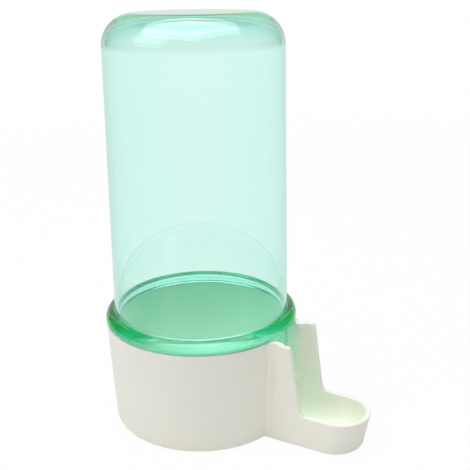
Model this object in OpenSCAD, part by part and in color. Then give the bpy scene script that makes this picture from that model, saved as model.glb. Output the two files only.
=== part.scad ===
// Siphon drinker for a bird cage: a clear tube that stands, neck down, in a white base with a drinking cup.
// Millimetres. Z is up along the tube, the cup points along +X, and the base stands on Z = 0.

/* [Reservoir tube] */
// Outside diameter of the tube where it meets the flange
tube_d = 60; // [44:1:90]
// Height of the tube from the top of the flange to the closed end
tube_h = 97.7; // [50:0.1:160]
// Wall of the tube and of its neck
tube_wall = 1; // [0.8:0.1:3]
// Thickness of the closed end
top_wall = 1.6; // [1:0.1:4]
// Outside radius of the edge round the closed end
top_edge_r = 10; // [4:0.5:14]
// How much the tube draws in on each side towards its closed end
tube_taper = 1.2; // [0:0.1:3]
// How much thinner than the wall the neck is at its lower edge
neck_thinning = 0.3; // [0:0.1:0.5]

/* [Flange] */
// How far the flange stands out past the rim of the bowl
flange_overhang = 0.1; // [0:0.1:4]
// Thickness of the flange
flange_t = 4.2; // [2:0.1:8]
// Radius of the flange's lower edge; its upper edge is rounded over all the rest of its thickness
flange_foot_r = 1.2; // [0.2:0.1:1.8]

/* [Base bowl] */
// Height of the bowl, from the table to the rim that the flange rests on
base_h = 36.1; // [30:0.1:60]
// Wall of the bowl
base_wall = 1.5; // [1:0.1:3]
// Thickness of the floor
base_floor = 2; // [1:0.1:4]
// Lean of the bowl's wall and of the neck inside it, in degrees from upright
base_draft = 2.8; // [0.5:0.1:5]
// Radius of the edge round the underside
base_edge_r = 1.5; // [0.5:0.1:3]
// Radius between the floor and the wall inside
floor_fillet_r = 2; // [0.5:0.1:4]

/* [Fit of neck and water level] */
// Gap all round between the neck and the bowl's wall
neck_clearance = 0.5; // [0.2:0.05:1]
// Height of the neck's lower edge above the floor, which is the depth of the water
water_depth = 8.5; // [6:0.5:20]
// Height of the cup's rim above the neck's lower edge
freeboard = 1.5; // [1:0.5:6]

/* [Throat and drinking cup] */
// Outside width of the throat at the rim of the bowl
spout_w = 21.7; // [16:0.1:30]
// Wall of the throat and of the cup
spout_wall = 1.7; // [1:0.1:2.5]
// Lean of the throat's side walls, in degrees from upright
spout_draft = 1.5; // [0:0.1:3]
// Length of the throat wall in front of the cage wire, at the top
throat_land = 3.8; // [2:0.1:12]
// Lean of the throat walls' front edges, in degrees from upright
throat_lean = 8.5; // [0:0.5:20]
// Radius between a throat wall's front edge and the cup's rim
throat_fillet_r = 2.5; // [0.5:0.1:5]
// Length of the cup's rim in front of the throat walls
cup_l = 20.1; // [16:0.1:40]
// Lean of the cup's front, in degrees from upright
cup_lean = 11; // [0:1:25]
// Radius between the floor and the walls inside the cup
cup_fillet_r = 5; // [1:0.5:6]

/* [Cage wire grooves] */
// Diameter of the cage wire
wire_d = 2.5; // [1.5:0.1:3.5]
// Gap round the wire in its groove
wire_clearance = 0.15; // [0.05:0.05:0.2]
// Gap between the wire and the flange above it
wire_flange_gap = 0.9; // [0.1:0.1:2]

/* [Hidden] */
$fn = 128;
// Fineness of the lofted throat and cup
loft_fn = 64;
loft_step = 15;
slice_t = 0.01;
// Margin by which a cut runs past the face that it opens
past = 1;

// Heights
neck_edge_z = base_floor + water_depth;
cup_rim_z = neck_edge_z + freeboard;
flange_top_z = base_h + flange_t;
top_z = flange_top_z + tube_h;

// Radii of the reservoir and of the bowl: the neck and the bowl's wall lean alike, a gap apart
tube_r = tube_d / 2;
bore_r = tube_r - tube_wall;
bore_edge_r = max(top_edge_r - tube_wall, 0.5);
base_slope = tan(base_draft);
function neck_r(z) = tube_r - neck_thinning + (z - neck_edge_z) * base_slope;
function bowl_in_r(z) = neck_r(z) + neck_clearance;
function bowl_out_r(z) = bowl_in_r(z) + base_wall;
flange_r = bowl_out_r(base_h) + flange_overhang;
flange_top_r = min(flange_t - flange_foot_r, flange_r - tube_r);

// Cage wire grooves: as close to the tube as the flange lets a straight wire pass
groove_r = wire_d / 2 + wire_clearance;
groove_y = spout_w / 2;
groove_x = sqrt(pow(flange_r + wire_flange_gap + groove_r, 2) - pow(groove_y, 2));

// Throat and cup, at a height z
function spout_half_w(z) = spout_w / 2 - (base_h - z) * tan(spout_draft);
throat_top_x = groove_x + groove_r + throat_land;
throat_foot_x = throat_top_x + (base_h - cup_rim_z) * tan(throat_lean);
cup_end_x = throat_foot_x + cup_l;
function cup_front_x(z) = cup_end_x - max(cup_rim_z - z, 0) * tan(cup_lean);

// Outline of the tube to the right of its axis: the points of its foot, a leaning side and a rounded top edge
module tube_outline(foot, r_top, z_top, edge_r) {
    polygon(concat(
        [[0, foot[0].y]],
        foot,
        [[r_top, z_top - edge_r], [r_top - edge_r, z_top], [0, z_top]]
    ));
    translate([r_top - edge_r, z_top - edge_r])
        circle(r = edge_r);
}

// Quarter of a disc whose centre is at x and z, above it or below it, on the side away from the axis
module quarter_disc(x, z, r, above) {
    translate([x, z])
        intersection() {
            circle(r = r);
            translate([0, above ? 0 : -r])
                square(r);
        }
}

// Section of the flange: flat underneath, with a full round upper edge
module flange_section() {
    polygon([
        [bore_r, base_h],
        [flange_r - flange_foot_r, base_h],
        [flange_r, base_h + flange_foot_r],
        [flange_r, flange_top_z - flange_top_r],
        [flange_r - flange_top_r, flange_top_z],
        [bore_r, flange_top_z],
    ]);
    quarter_disc(flange_r - flange_foot_r, base_h + flange_foot_r, flange_foot_r, false);
    quarter_disc(flange_r - flange_top_r, flange_top_z - flange_top_r, flange_top_r, true);
}

// Outline of a bowl to the right of its axis, with the edge of its floor rounded
module bowl_outline(r_edge, r_rim, z_floor, z_rim, edge_r) {
    polygon([
        [0, z_floor],
        [r_edge - edge_r, z_floor],
        [r_edge, z_floor + edge_r],
        [r_rim, z_rim],
        [0, z_rim],
    ]);
    translate([r_edge - edge_r, z_floor + edge_r])
        circle(r = edge_r);
}

// One level slice of the throat and cup: straight sides and a half-round front
module spout_slice(z, half_w, front_x) {
    translate([0, 0, z])
        linear_extrude(slice_t) {
            translate([0, -half_w])
                square([front_x - half_w, 2 * half_w]);
            translate([front_x - half_w, 0])
                circle(r = half_w, $fn = loft_fn);
        }
}

// Loft of those slices from a rounded foot at z_floor up to z_top, inset from the outside faces by a wall
module spout_loft(wall, z_floor, z_top, edge_r) {
    hull() {
        for (a = [0 : loft_step : 90]) {
            z = z_floor + edge_r * (1 - cos(a));
            inset = wall + edge_r * (1 - sin(a));
            spout_slice(z, spout_half_w(z) - inset, cup_front_x(z) - inset);
        }
        spout_slice(cup_rim_z, spout_half_w(cup_rim_z) - wall, cup_front_x(cup_rim_z) - wall);
        spout_slice(z_top, spout_half_w(z_top) - wall, cup_front_x(z_top) - wall);
    }
}

// Side view of the throat and cup: full height at the bowl, stepping down to the rim of the cup
module spout_side_view() {
    fillet_x = throat_foot_x + throat_fillet_r * (1 - sin(throat_lean)) / cos(throat_lean);
    fillet_z = cup_rim_z + throat_fillet_r;
    polygon([
        [0, 0],
        [cup_end_x + past, 0],
        [cup_end_x + past, cup_rim_z],
        [throat_foot_x, cup_rim_z],
        [throat_top_x, base_h],
        [0, base_h],
    ]);
    difference() {
        polygon([
            [throat_foot_x - past, cup_rim_z - past],
            [fillet_x, cup_rim_z - past],
            [fillet_x, cup_rim_z],
            [fillet_x, fillet_z],
            [fillet_x - throat_fillet_r * cos(throat_lean), fillet_z - throat_fillet_r * sin(throat_lean)],
        ]);
        translate([fillet_x, fillet_z])
            circle(r = throat_fillet_r);
    }
}

// An upright round rod in each of the two cage wire positions
module wire_rods(r) {
    for (side = [-1, 1])
        translate([groove_x, side * groove_y, -past])
            cylinder(r = r, h = base_h + 2 * past);
}

module reservoir() {
    neck = [[neck_r(neck_edge_z), neck_edge_z], [neck_r(base_h), base_h], [tube_r, base_h]];
    bore = [[bore_r, neck_edge_z - past], [bore_r, base_h]];
    color("mediumaquamarine", 0.5)
        rotate_extrude()
            difference() {
                union() {
                    tube_outline(neck, tube_r - tube_taper, top_z, top_edge_r);
                    flange_section();
                }
                tube_outline(bore, bore_r - tube_taper, top_z - top_wall, bore_edge_r);
            }
}

module base() {
    color("ivory")
        difference() {
            union() {
                rotate_extrude()
                    bowl_outline(bowl_out_r(base_edge_r), bowl_out_r(base_h), 0, base_h, base_edge_r);
                intersection() {
                    spout_loft(0, 0, base_h, base_edge_r);
                    translate([0, spout_w, 0])
                        rotate([90, 0, 0])
                            linear_extrude(2 * spout_w)
                                spout_side_view();
                }
            }
            // Inside of the bowl
            rotate_extrude()
                bowl_outline(
                    bowl_in_r(base_floor + floor_fillet_r), bowl_in_r(base_h + past),
                    base_floor, base_h + past, floor_fillet_r
                );
            // Channel from the bowl through the throat to the cup, whose walls bulge in behind the grooves
            difference() {
                spout_loft(spout_wall, base_floor, base_h + past, cup_fillet_r);
                wire_rods(groove_r + spout_wall);
            }
            wire_rods(groove_r);
        }
}

reservoir();
base();
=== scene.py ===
import math

import bmesh
import bpy
import numpy as np
from mathutils import Matrix, Vector


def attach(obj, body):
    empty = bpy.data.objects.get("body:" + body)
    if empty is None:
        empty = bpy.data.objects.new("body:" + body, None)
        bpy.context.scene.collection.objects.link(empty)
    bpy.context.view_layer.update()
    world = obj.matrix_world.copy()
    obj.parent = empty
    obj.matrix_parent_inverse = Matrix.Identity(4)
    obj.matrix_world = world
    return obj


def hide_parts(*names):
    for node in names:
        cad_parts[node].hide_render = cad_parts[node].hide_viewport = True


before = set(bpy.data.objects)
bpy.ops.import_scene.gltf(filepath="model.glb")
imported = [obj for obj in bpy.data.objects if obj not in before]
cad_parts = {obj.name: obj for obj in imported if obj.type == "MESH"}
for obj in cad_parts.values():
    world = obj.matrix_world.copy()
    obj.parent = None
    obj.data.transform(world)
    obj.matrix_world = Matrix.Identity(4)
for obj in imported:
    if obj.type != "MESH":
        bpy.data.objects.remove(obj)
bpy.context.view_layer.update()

MM = 0.001

# Sizes of the drinker in millimetres and degrees, the same as in the part's source
TUBE_R, TUBE_H, TUBE_WALL, TUBE_TAPER = 30.0, 97.7, 1.0, 1.2
TOP_WALL, TOP_EDGE_R, NECK_THINNING = 1.6, 10.0, 0.3
FLANGE_OVERHANG, FLANGE_T, FLANGE_FOOT_R = 0.1, 4.2, 1.2
BASE_H, BASE_WALL, BASE_FLOOR, BASE_DRAFT = 36.1, 1.5, 2.0, 2.8
BASE_EDGE_R, FLOOR_FILLET_R = 1.5, 2.0
NECK_CLEARANCE, WATER_DEPTH, FREEBOARD = 0.5, 8.5, 1.5
SPOUT_HALF_W, SPOUT_WALL, SPOUT_DRAFT = 10.85, 1.7, 1.5
THROAT_LAND, THROAT_LEAN, THROAT_FILLET_R = 3.8, 8.5, 2.5
CUP_L, CUP_LEAN, CUP_FILLET_R = 20.1, 11.0, 5.0
GROOVE_R, WIRE_FLANGE_GAP = 1.4, 0.9

# Heights that follow from them
FLANGE_TOP_Z = BASE_H + FLANGE_T
TOP_Z = FLANGE_TOP_Z + TUBE_H
NECK_EDGE_Z = BASE_FLOOR + WATER_DEPTH
CUP_RIM_Z = NECK_EDGE_Z + FREEBOARD


def slope(lean):
    """How far a wall runs sideways for each millimetre of height: the tangent of its lean in degrees."""
    return math.tan(math.radians(lean))


def neck_r(z):
    """Outside radius of the neck at a height. It leans as the bowl's wall does."""
    return TUBE_R - NECK_THINNING + (z - NECK_EDGE_Z) * slope(BASE_DRAFT)


def bowl_r(z):
    """Outside radius of the bowl at a height: the neck's, a gap and the bowl's wall."""
    return neck_r(z) + NECK_CLEARANCE + BASE_WALL


# Radii and lengths that follow from them
FLANGE_R = bowl_r(BASE_H) + FLANGE_OVERHANG
FLANGE_TOP_R = FLANGE_T - FLANGE_FOOT_R
GROOVE_Y = SPOUT_HALF_W
GROOVE_X = math.sqrt((FLANGE_R + WIRE_FLANGE_GAP + GROOVE_R) ** 2 - GROOVE_Y ** 2)
THROAT_TOP_X = GROOVE_X + GROOVE_R + THROAT_LAND
THROAT_FOOT_X = THROAT_TOP_X + (BASE_H - CUP_RIM_Z) * slope(THROAT_LEAN)
CUP_END_X = THROAT_FOOT_X + CUP_L

# Small radii that moulded edges have
NECK_LIP_R = 0.3
RIM_R = 0.45
THROAT_CORNER_R = 1.0
CORNER_FILLET_R = 0.35
GROOVE_EDGE = 0.35
FLANGE_FILLET_R = 0.5

# Air between the flange and the rim that it rests on
SEAT_GAP = 0.04

# A stretch of a section longer than this gets a point this close to each of its ends
STRAIGHT_L, HOLD_L = 1.0, 0.05

# Points closer than this, in metres, become one, and faces thinner than this are taken out
WELD_L, THIN_L = 1e-7, 1e-8

# Columns on each side of the groove, in millimetres from its edge, the share of that behind it, where there is less
# room, and how steeply the groove's section climbs past the wall's face there
SHOULDER = np.array([0.03, 0.08, 0.15, 0.25, 0.4, 0.55])
SHOULDER_BACK = 0.62
SHOULDER_RISE = 4

# The middle line that the floor's points run in to ends this far from the axis, under the cup's nose
SPINE_END_X = 45.0

# Points along the reservoir's section: its top edges, small edges, bead and the bead's foot. Steps round its axis
TOP_EDGE_N, SMALL_EDGE_N, BEAD_N, BEAD_FOOT_N, AROUND_N = 48, 10, 32, 20, 288
# Points along the throat wall's edge: hollow foot, straight front and rounded corner
HOLLOW_N, FRONT_N, CORNER_N = 14, 40, 10
# Columns of the base: the cup's nose and side, the land on each side of a groove, the groove, a fillet, the bowl
NOSE_N, SIDE_N, LAND_N, GROOVE_N, FILLET_N, BOWL_N = 24, 8, 5, 33, 8, 96
# Rows of the base: its foot, outside, each edge of the rim, inside, the cup's fillet, each floor
FOOT_ROWS, OUTSIDE_ROWS, RIM_ROWS, INSIDE_ROWS, CUP_FILLET_ROWS, FLOOR_ROWS = 9, 14, 6, 12, 15, 6


def linear(hex_colour):
    """An sRGB hex colour as linear RGBA."""
    c = np.array([int(hex_colour[i:i + 2], 16) for i in (1, 3, 5)]) / 255
    lin = np.where(c <= 0.04045, c / 12.92, ((c + 0.055) / 1.055) ** 2.4)
    return (*lin.tolist(), 1.0)


def steps(n):
    """Shares of a way in equal steps, without its start and with its end."""
    return np.linspace(0, 1, n + 1)[1:]


def between(n):
    """Shares of a way in equal steps, without its start and its end."""
    return steps(n + 1)[:-1]


def arc(cx, cz, r, start, end, n):
    """Points on a circle about (cx, cz), from one angle to the other in degrees."""
    a = np.radians(np.linspace(start, end, n))
    return np.stack([cx + r * np.cos(a), cz + r * np.sin(a)], -1)


def smooth_object(name, points, faces):
    """A smooth-shaded object at the origin from points in metres and the corners of its faces."""
    mesh = bpy.data.meshes.new(name)
    mesh.from_pydata(points.tolist(), [], faces.tolist(), shade_flat=False)
    piece = bpy.data.objects.new(name, mesh)
    bpy.context.scene.collection.objects.link(piece)
    return piece


def skin(name, grid):
    """A closed piece from a grid of points, rows by columns: columns wrap round, and each row joins the next.
    Points that coincide, at poles and along seams, become one."""
    rows, cols = grid.shape[:2]
    index = np.arange(rows * cols).reshape(rows, cols)
    right = np.roll(index, -1, axis=1)
    faces = np.stack([index[:-1], right[:-1], right[1:], index[1:]], -1).reshape(-1, 4)
    piece = smooth_object(name, grid.reshape(-1, 3) * MM, faces)
    bm = bmesh.new()
    bm.from_mesh(piece.data)
    bmesh.ops.remove_doubles(bm, verts=bm.verts, dist=WELD_L)
    bmesh.ops.dissolve_degenerate(bm, edges=bm.edges, dist=THIN_L)
    bmesh.ops.recalc_face_normals(bm, faces=bm.faces)
    if bm.calc_volume(signed=True) < 0:
        bmesh.ops.reverse_faces(bm, faces=bm.faces)
    bm.to_mesh(piece.data)
    bm.free()
    return piece


def held(section):
    """A section with a point added close to each end of every straight stretch, so that smooth shading keeps the
    stretch straight."""
    step = np.diff(section, axis=0)
    length = np.linalg.norm(step, axis=1)[:, None]
    straight = np.flatnonzero(length[:, 0] > STRAIGHT_L)
    inward = step[straight] / length[straight] * HOLD_L
    points = np.stack([section[straight] + inward, section[straight + 1] - inward], 1).reshape(-1, 2)
    return np.insert(section, np.repeat(straight + 1, 2), points, axis=0)


def reservoir_section():
    """Half section of the reservoir from the axis on top, down the outside and up the inside back to the axis:
    straight walls joined by arcs. The small hollow above the flange touches the tube's side and the flange's
    round edge."""
    bore = TUBE_R - TUBE_WALL
    top_r, bore_top = TUBE_R - TUBE_TAPER, bore - TUBE_TAPER
    bore_edge = TOP_EDGE_R - TUBE_WALL
    hollow = FLANGE_FILLET_R
    under = BASE_H + SEAT_GAP
    lip_z = NECK_EDGE_Z + NECK_LIP_R
    bead_x, bead_z = FLANGE_R - FLANGE_TOP_R, FLANGE_TOP_Z - FLANGE_TOP_R
    hollow_x = TUBE_R - TUBE_TAPER * FLANGE_T / (TOP_Z - TOP_EDGE_R - BASE_H) + hollow
    touch = math.degrees(math.acos((hollow_x - bead_x) / (FLANGE_TOP_R + hollow)))
    hollow_z = bead_z + (FLANGE_TOP_R + hollow) * math.sin(math.radians(touch))
    return held(np.concatenate([
        [[0.0, TOP_Z]],
        arc(top_r - TOP_EDGE_R, TOP_Z - TOP_EDGE_R, TOP_EDGE_R, 90, 0, TOP_EDGE_N),
        arc(hollow_x, hollow_z, hollow, 180, 180 + touch, SMALL_EDGE_N),
        arc(bead_x, bead_z, FLANGE_TOP_R, touch, 0, BEAD_N),
        arc(FLANGE_R - FLANGE_FOOT_R, under + FLANGE_FOOT_R, FLANGE_FOOT_R, 0, -90, BEAD_FOOT_N),
        arc(neck_r(under - hollow) + hollow, under - hollow, hollow, 90, 180, SMALL_EDGE_N),
        arc(neck_r(NECK_EDGE_Z) - NECK_LIP_R, lip_z, NECK_LIP_R, 0, -90, SMALL_EDGE_N),
        arc(bore + NECK_LIP_R, lip_z, NECK_LIP_R, 270, 180, SMALL_EDGE_N),
        [[bore, BASE_H]],
        arc(bore_top - bore_edge, TOP_Z - TOP_WALL - bore_edge, bore_edge, 0, 90, TOP_EDGE_N),
        [[0.0, TOP_Z - TOP_WALL]],
    ]))


def revolved(section, around):
    """A surface of revolution: a half section of radius and height, turned about the axis in equal steps."""
    t = np.linspace(0, 2 * np.pi, around, endpoint=False)
    r, z = section[:, :1], section[:, 1:]
    return np.stack([r * np.cos(t), r * np.sin(t), z + 0 * t], -1)


def soft_min(a, b, k):
    """The lesser of two values, rounded over by a parabola where they are within k of each other."""
    h = np.clip(0.5 + 0.5 * (b - a) / k, 0, 1)
    return b + (a - b) * h - k * h * (1 - h)


def throat_edge(inset):
    """Side view of the throat wall's edge from the cup's rim up to the top of the wall, moved back into the wall:
    a hollow arc, the leaning front edge and the arc of a rounded corner. Gives x, z and the outward normal."""
    lean = math.radians(THROAT_LEAN)
    a = np.linspace(-math.pi / 2, lean - math.pi, HOLLOW_N)
    r = THROAT_FILLET_R + inset
    x = THROAT_FOOT_X + THROAT_FILLET_R * (1 - math.sin(lean)) / math.cos(lean)
    z = CUP_RIM_Z + THROAT_FILLET_R
    hollow = np.stack([x + r * np.cos(a), z + r * np.sin(a), -np.cos(a), -np.sin(a)], -1)
    a = np.linspace(lean, math.pi / 2, CORNER_N)
    r = THROAT_CORNER_R - inset
    x = THROAT_TOP_X + THROAT_CORNER_R * math.tan(lean) - THROAT_CORNER_R / math.cos(lean)
    z = BASE_H - THROAT_CORNER_R
    corner = np.stack([x + r * np.cos(a), z + r * np.sin(a), np.cos(a), np.sin(a)], -1)
    front = hollow[-1] + (corner[0] - hollow[-1]) * between(FRONT_N)[:, None]
    return np.concatenate([hollow, front, corner])


THROAT_EDGE = throat_edge(RIM_R)

# The groove's columns: as a share of its radius from its middle, by the sine, and in millimetres past its edge
ACROSS = np.sin(np.linspace(np.pi / 2, -np.pi / 2, GROOVE_N))
ACROSS = np.pad(ACROSS, len(SHOULDER), mode="edge")
PAST = np.concatenate([SHOULDER[::-1], np.zeros(GROOVE_N), -SHOULDER * SHOULDER_BACK])

# Which columns of the base belong to which stretch of its plan outline
ENDS = np.cumsum([0, NOSE_N, SIDE_N, len(THROAT_EDGE), LAND_N, len(ACROSS), LAND_N, FILLET_N, BOWL_N])
NOSE, SIDE, FRONT, LAND, GROOVE, BACK, FILLET, BOWL = map(slice, ENDS[:-1], ENDS[1:])


def base_outline(z, spout_inset, bowl_inset, groove_r):
    """Half of the base's plan outline at heights z, rows by columns, moved in from its outside faces. It runs from the
    cup's tip: a quarter circle, the cup's side, the throat wall with the half circle of the groove let into it, a
    fillet whose centre is a fillet's radius away from the throat and the bowl, and the bowl's arc to its back."""
    half_w = SPOUT_HALF_W - (BASE_H - z) * slope(SPOUT_DRAFT) - spout_inset
    nose_x = CUP_END_X - np.maximum(CUP_RIM_Z - z, 0) * slope(CUP_LEAN) - (half_w + spout_inset)
    bowl = bowl_r(z) - bowl_inset
    fillet_y = half_w + CORNER_FILLET_R
    fillet_x = np.sqrt((bowl + CORNER_FILLET_R) ** 2 - fillet_y ** 2)
    turn = np.arctan2(fillet_y, fillet_x)
    land_x = GROOVE_X + groove_r + SHOULDER[-1]
    back_x = GROOVE_X - groove_r - SHOULDER[-1] * SHOULDER_BACK
    x, y = np.empty_like(half_w), half_w.copy()

    a = np.linspace(0, np.pi / 2, NOSE_N)
    x[:, NOSE] = nose_x[:, NOSE] + half_w[:, NOSE] * np.cos(a)
    y[:, NOSE] = half_w[:, NOSE] * np.sin(a)
    x[:, SIDE] = nose_x[:, SIDE] + (THROAT_EDGE[0, 0] - nose_x[:, SIDE]) * between(SIDE_N)
    x[:, FRONT] = THROAT_EDGE[:, 0]
    x[:, LAND] = np.linspace(THROAT_EDGE[-1, 0], land_x, LAND_N, endpoint=False)

    dip = GROOVE_Y - groove_r * np.sqrt(1 - ACROSS ** 2) + SHOULDER_RISE * np.abs(PAST)
    x[:, GROOVE] = GROOVE_X + groove_r * ACROSS + PAST
    y[:, GROOVE] = soft_min(half_w[:, GROOVE], dip, GROOVE_EDGE)
    x[:, BACK] = back_x + (fillet_x[:, BACK] - back_x) * between(LAND_N)

    a = 1.5 * np.pi + (turn[:, FILLET] - 0.5 * np.pi) * np.linspace(0, 1, FILLET_N)
    x[:, FILLET] = fillet_x[:, FILLET] + CORNER_FILLET_R * np.cos(a)
    y[:, FILLET] = fillet_y[:, FILLET] + CORNER_FILLET_R * np.sin(a)
    a = turn[:, BOWL] + (np.pi - turn[:, BOWL]) * steps(BOWL_N)
    x[:, BOWL] = bowl[:, BOWL] * np.cos(a)
    y[:, BOWL] = bowl[:, BOWL] * np.sin(a)
    return np.stack([x, y, z], -1)


def rounded_foot(z, r, rows):
    """Heights and insets of a quarter round that leads from a level floor into an upright wall."""
    a = np.radians(np.linspace(0, 90, rows))
    return z + r * (1 - np.cos(a)), r * (1 - np.sin(a))


def over_rim(outer, inner, up):
    """The rim between two skins: a quarter round, the flat of the rim and another quarter round. A quarter leaves its
    skin by the sine along the rim's normal, and nears the other skin by one less the cosine."""
    across = (inner - outer) * [1, 1, 0]
    across /= np.linalg.norm(across, axis=1)[:, None]
    a = np.radians(90 * steps(RIM_ROWS))[:, None, None]
    rise, shift = RIM_R * np.sin(a) * up, RIM_R * (1 - np.cos(a)) * across
    return np.concatenate([outer + rise + shift, (inner + rise - shift)[::-1]])


def level_floor(row, shares):
    """A level floor: shares of the way from the outline in to the line along the middle of the throat, or to the
    centre of the bowl."""
    on_spine = np.concatenate([np.ones(FILLET.start), np.linspace(1, 0, FILLET_N), np.zeros(BOWL_N)])
    spine = row * [1, 0, 1]
    spine[:, 0] = np.minimum(row[:, 0], SPINE_END_X) * on_spine
    return row + (spine - row) * shares[:, None, None]


def base_surface():
    """Skin of the base as one grid. Columns run round its plan outline, and the second half of them mirrors the first.
    Rows run from the middle of the underside, out and up the outside, over the rounded rim and down the inside to
    the middle of the floor. The rim's height is that of the bowl, of the throat's edge or of the cup."""
    rim = np.concatenate([
        np.tile([CUP_RIM_Z - RIM_R, 0, 1], (FRONT.start, 1)),
        THROAT_EDGE[:, 1:],
        np.tile([BASE_H - RIM_R, 0, 1], (BOWL.stop - FRONT.stop, 1)),
    ])
    top, every_column = rim[:, 0], np.ones(len(rim))
    up = np.stack([rim[:, 1], 0 * top, rim[:, 2]], -1)

    z, inset = (np.outer(v, every_column) for v in rounded_foot(0, BASE_EDGE_R, FOOT_ROWS))
    foot = base_outline(z, inset, inset, GROOVE_R)
    z = BASE_EDGE_R + (top - BASE_EDGE_R) * steps(OUTSIDE_ROWS)[:, None]
    outside = base_outline(z, 0, 0, GROOVE_R)

    # The walls bulge in behind the grooves, and inside the bowl a smaller fillet takes the place of the cup's
    bulge_r = GROOVE_R + SPOUT_WALL
    fillet_top = BASE_FLOOR + CUP_FILLET_R
    z = fillet_top + (top - fillet_top) * steps(INSIDE_ROWS)[::-1, None]
    inside = base_outline(z, SPOUT_WALL, BASE_WALL, bulge_r)
    z, inset = (np.outer(v, every_column) for v in rounded_foot(BASE_FLOOR, CUP_FILLET_R, CUP_FILLET_ROWS))
    below = np.maximum(BASE_FLOOR + FLOOR_FILLET_R - z, 0)
    bowl_inset = FLOOR_FILLET_R - np.sqrt(np.maximum(FLOOR_FILLET_R ** 2 - below ** 2, 0))
    fillets = base_outline(z, SPOUT_WALL + inset, BASE_WALL + bowl_inset, bulge_r)[::-1]

    half = np.concatenate([
        level_floor(foot[0], steps(FLOOR_ROWS)[::-1]), foot, outside, over_rim(outside[-1], inside[0], up),
        inside, fillets, level_floor(fillets[-1], steps(FLOOR_ROWS)),
    ])
    mirror = half[:, -2:0:-1] * [1, -1, 1]
    return np.concatenate([half, mirror], 1)


reservoir = skin("reservoir_tube", revolved(reservoir_section(), AROUND_N))
base = skin("base_moulding", base_surface())
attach(reservoir, "reservoir")
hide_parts("reservoir")
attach(base, "base")
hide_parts("base")


def node(tree, kind, inputs=None, **settings):
    """Adds a node to a tree, sets its properties, and links each input to a socket or sets it to a value."""
    made = tree.nodes.new(kind)
    for key, value in settings.items():
        setattr(made, key, value)
    for key, value in (inputs or {}).items():
        if isinstance(value, bpy.types.NodeSocket):
            tree.links.new(value, made.inputs[key])
        else:
            made.inputs[key].default_value = value
    return made


def blank_material(name):
    """A material with an empty tree of nodes."""
    m = bpy.data.materials.new(name)
    m.use_nodes = True
    m.node_tree.nodes.clear()
    return m


# Widths of the materials' patterns in millimetres: waves of the flow and patches of haze in the clear plastic, clouds
# of colour in the white one. The grain of its spark finish is finer than 0.1 mm, and is drawn this wide to show
FLOW_L, HAZE_L, CLOUD_L, GRAIN_L = 18.0, 6.0, 14.0, 0.4


def clear_green_styrene():
    """Polystyrene, injection moulded in a polished mould and tinted green: clear and glossy, pale through one wall and
    deep green where light runs along the plastic, with a faint waviness from the flow."""
    m = blank_material("clear_green_styrene")
    t = m.node_tree
    at = node(t, "ShaderNodeTexCoord").outputs["Object"]
    flow = node(t, "ShaderNodeTexNoise", {"Vector": at, "Scale": 1 / (FLOW_L * MM), "Detail": 2.0})
    wave = node(t, "ShaderNodeBump", {"Height": flow.outputs["Fac"], "Strength": 0.04, "Distance": 0.4 * MM})
    haze = node(t, "ShaderNodeTexNoise", {"Vector": at, "Scale": 1 / (HAZE_L * MM), "Detail": 3.0})
    rough = node(t, "ShaderNodeMapRange", {"Value": haze.outputs["Fac"], "To Min": 0.0, "To Max": 0.03})
    plastic = node(t, "ShaderNodeBsdfPrincipled", {
        "Base Color": linear("#FFFFFF"), "Transmission Weight": 1.0, "IOR": 1.58,
        "Roughness": rough.outputs["Result"], "Normal": wave.outputs["Normal"],
    })
    tint = node(t, "ShaderNodeVolumeAbsorption", {"Color": linear("#00F7DF"), "Density": 180.0})
    node(t, "ShaderNodeOutputMaterial", {"Surface": plastic.outputs["BSDF"], "Volume": tint.outputs["Volume"]})
    return m


def white_polypropylene():
    """Polypropylene, injection moulded in a mould with a fine spark finish: warm white, satin, a little light passes
    in."""
    m = blank_material("white_polypropylene")
    t = m.node_tree
    at = node(t, "ShaderNodeTexCoord").outputs["Object"]
    cloud = node(t, "ShaderNodeTexNoise", {"Vector": at, "Scale": 1 / (CLOUD_L * MM), "Detail": 3.0})
    colour = node(t, "ShaderNodeMix", {
        "Factor": cloud.outputs["Fac"], "A": linear("#F6F3E8"), "B": linear("#FAF7ED"),
    }, data_type="RGBA")
    grain = node(t, "ShaderNodeTexNoise", {"Vector": at, "Scale": 1 / (GRAIN_L * MM), "Detail": 2.0})
    bump = node(t, "ShaderNodeBump", {"Height": grain.outputs["Fac"], "Strength": 0.08, "Distance": 0.2 * MM})
    rough = node(t, "ShaderNodeMapRange", {"Value": cloud.outputs["Fac"], "To Min": 0.36, "To Max": 0.46})
    plastic = node(t, "ShaderNodeBsdfPrincipled", {
        "Base Color": colour.outputs["Result"], "IOR": 1.49,
        "Subsurface Weight": 0.2, "Subsurface Radius": (1.0, 0.9, 0.75), "Subsurface Scale": 2 * MM,
        "Roughness": rough.outputs["Result"], "Normal": bump.outputs["Normal"],
    })
    node(t, "ShaderNodeOutputMaterial", {"Surface": plastic.outputs["BSDF"]})
    return m


reservoir.data.materials.append(clear_green_styrene())
base.data.materials.append(white_polypropylene())


# The camera stands this far from the axis and this high, in millimetres, and this angle round the axis from the -Y
# side. It looks down, looks aside and leans by the other three angles. All angles are in radians
CAMERA_R, CAMERA_Z, CAMERA_TURN = 247.6, 147.9, 0.5475
PITCH, YAW, ROLL = 0.3238, 0.0489, 0.0134
# Its focal length and the width of the picture in pixels, and the width of its sensor in millimetres
FOCAL_PX, FRAME_PX, SENSOR_W = 768.0, 470, 36.0
CLIP_NEAR, CLIP_FAR = 0.01, 20

# Turns what is placed to the right of the drinker, behind it and above it, as the camera stands, into the frame
TURN = Matrix.Rotation(CAMERA_TURN, 3, "Z")

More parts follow.
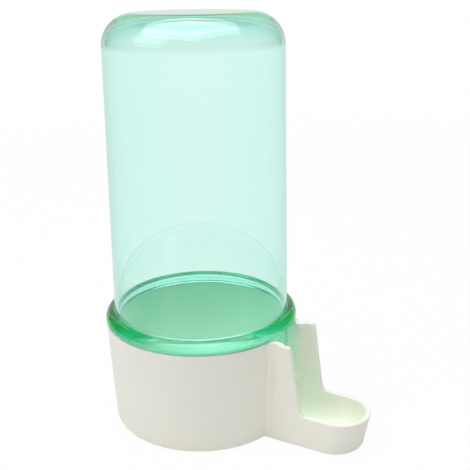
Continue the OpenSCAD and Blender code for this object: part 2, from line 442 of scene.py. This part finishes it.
# The studio in metres: half the floor's width, then the backdrop's half width, where its curve starts, the curve's
# radius, the backdrop's height and its gap from the floor
FLOOR_HALF_W = 4.0
BACKDROP_HALF_W, BACKDROP_Y, BACKDROP_R, BACKDROP_H, BACKDROP_GAP = 1.1, 1.0, 0.5, 1.6, 0.0005
BACKDROP_N = 24

# Strength of the even light from all round
WORLD_LIGHT = 0.20
# Strength of the white paper where it is seen in a reflection
MIRRORED_WHITE = 0.83
# The floor's shadow fades out between these distances from the drinker, in metres, and near it this share is white
FADE_START, FADE_END, NEAR_WHITE = 0.1, 0.9, 0.93

# A path with fewer bounces than this has none
NO_BOUNCE = 0.5

# The lamps are turned to this point on the drinker's axis
LAMP_AIM = Vector((0, 0, 0.06))


def seen(tree, mirrored):
    """1 where the camera sees a surface straight or through clear plastic, and 0 for light on a dull surface. What is
    seen in a reflection counts too if asked for."""
    path = node(tree, "ShaderNodeLightPath").outputs
    found = node(tree, "ShaderNodeMath", {0: path["Is Camera Ray"], 1: path["Is Transmission Ray"]},
                 operation="MAXIMUM").outputs[0]
    bounces = path["Diffuse Depth"]
    if mirrored:
        found = node(tree, "ShaderNodeMath", {0: found, 1: path["Is Glossy Ray"]}, operation="MAXIMUM").outputs[0]
    else:
        bounces = node(tree, "ShaderNodeMath", {0: bounces, 1: path["Glossy Depth"]}, operation="ADD").outputs[0]
    straight = node(tree, "ShaderNodeMath", {0: bounces, 1: NO_BOUNCE}, operation="LESS_THAN").outputs[0]
    return node(tree, "ShaderNodeMath", {0: found, 1: straight}, operation="MULTIPLY").outputs[0]


def sheet(name, profile, half_w):
    """A sheet of paper: a profile of distance behind the drinker and height, in metres, drawn out sideways."""
    x = np.array([-half_w, half_w]) + 0 * profile[:, :1]
    grid = np.stack([x, profile[:, :1] + 0 * x, profile[:, 1:] + 0 * x], -1).reshape(-1, 3)
    left = np.arange(len(profile) - 1) * 2
    faces = np.stack([left, left + 1, left + 3, left + 2], -1)
    piece = smooth_object(name, grid @ np.array(TURN).T, faces)
    return piece


def white_paper():
    """Matt paper that is seen as pure white, except near the drinker, where a share of the shadow stays on it, and in
    reflections, where it is a little dimmer."""
    m = blank_material("white_paper")
    m.cycles.emission_sampling = "NONE"
    t = m.node_tree
    matt = node(t, "ShaderNodeBsdfDiffuse", {"Color": linear("#F2F2F2")})
    path = node(t, "ShaderNodeLightPath").outputs
    strength = node(t, "ShaderNodeMapRange", {
        "Value": path["Glossy Depth"], "To Min": 1.0, "To Max": MIRRORED_WHITE,
    })
    white = node(t, "ShaderNodeEmission", {"Strength": strength.outputs["Result"]})
    at = node(t, "ShaderNodeTexCoord").outputs["Object"]
    away = node(t, "ShaderNodeVectorMath", {0: at}, operation="LENGTH")
    pure = node(t, "ShaderNodeMapRange", {
        "Value": away.outputs["Value"], "From Min": FADE_START, "From Max": FADE_END, "To Min": NEAR_WHITE,
    }, interpolation_type="SMOOTHSTEP")
    share = node(t, "ShaderNodeMath", {0: seen(t, True), 1: pure.outputs["Result"]}, operation="MULTIPLY")
    mix = node(t, "ShaderNodeMixShader", {
        0: share.outputs[0], 1: matt.outputs["BSDF"], 2: white.outputs["Emission"],
    })
    node(t, "ShaderNodeOutputMaterial", {"Surface": mix.outputs["Shader"]})
    return m


def lamp(name, at, size, watts):
    """A square soft lamp that faces the drinker, placed in metres to its right, behind it and up, as the camera
    stands."""
    data = bpy.data.lights.new(name, "AREA")
    data.size = size
    data.energy = watts
    o = bpy.data.objects.new(name, data)
    bpy.context.scene.collection.objects.link(o)
    o.location = TURN @ Vector(at)
    o.rotation_mode = "QUATERNION"
    o.rotation_quaternion = (LAMP_AIM - o.location).to_track_quat("-Z", "Y")


def studio():
    """White floor that keeps a soft shadow, a white backdrop that curves up behind the drinker, a dim even surround,
    and two soft lamps: a large one overhead and a smaller one on the left."""
    scene = bpy.context.scene
    scene.view_settings.view_transform = "Standard"
    # Enough bounces for light that goes through the clear walls into the bowl and back
    scene.cycles.max_bounces = 48
    scene.cycles.transmission_bounces = 40
    scene.cycles.diffuse_bounces = 16
    scene.cycles.glossy_bounces = 40
    # Any blur of the clear plastic after a dull bounce would keep light out of the bowl
    scene.cycles.blur_glossy = 0.0

    world = bpy.data.worlds.new("white_surround")
    scene.world = world
    world.use_nodes = True
    t = world.node_tree
    t.nodes.clear()
    strength = node(t, "ShaderNodeMapRange", {"Value": seen(t, False), "To Min": WORLD_LIGHT})
    back = node(t, "ShaderNodeBackground", {"Color": linear("#FFFFFF"), "Strength": strength.outputs["Result"]})
    node(t, "ShaderNodeOutputWorld", {"Surface": back.outputs["Background"]})

    level = np.array([[-FLOOR_HALF_W, 0.0], [FLOOR_HALF_W, 0.0]])
    rise = np.concatenate([
        arc(BACKDROP_Y, BACKDROP_R + BACKDROP_GAP, BACKDROP_R, -90, 0, BACKDROP_N),
        [[BACKDROP_Y + BACKDROP_R, BACKDROP_H]],
    ])
    paper = white_paper()
    sheet("floor", level, FLOOR_HALF_W).data.materials.append(paper)
    sheet("backdrop", rise, BACKDROP_HALF_W).data.materials.append(paper)

    lamp("overhead", at=(-0.05, -0.05, 1.1), size=1.3, watts=13.0)
    lamp("key", at=(-0.75, -0.35, 0.85), size=0.8, watts=2.7)


def photo_camera():
    """A camera at the photograph's angle: it looks down by the pitch, aside by the yaw, and leans by the roll."""
    ahead = Vector((math.sin(YAW) * math.cos(PITCH), math.cos(YAW) * math.cos(PITCH), -math.sin(PITCH)))
    right = Vector((math.cos(YAW), -math.sin(YAW), 0))
    down = ahead.cross(right)
    leaning_right = math.cos(ROLL) * right + math.sin(ROLL) * down
    leaning_down = -math.sin(ROLL) * right + math.cos(ROLL) * down
    axes = Matrix((leaning_right, -leaning_down, -ahead)).transposed()
    place = TURN @ Vector((0, -CAMERA_R * MM, CAMERA_Z * MM))
    data = bpy.data.cameras.new("photo_camera")
    data.sensor_width = SENSOR_W
    data.lens = FOCAL_PX * SENSOR_W / FRAME_PX
    data.clip_start, data.clip_end = CLIP_NEAR, CLIP_FAR
    o = bpy.data.objects.new("photo_camera", data)
    bpy.context.scene.collection.objects.link(o)
    o.matrix_world = Matrix.Translation(place) @ (TURN @ axes).to_4x4()
    bpy.context.scene.camera = o


studio()
photo_camera()
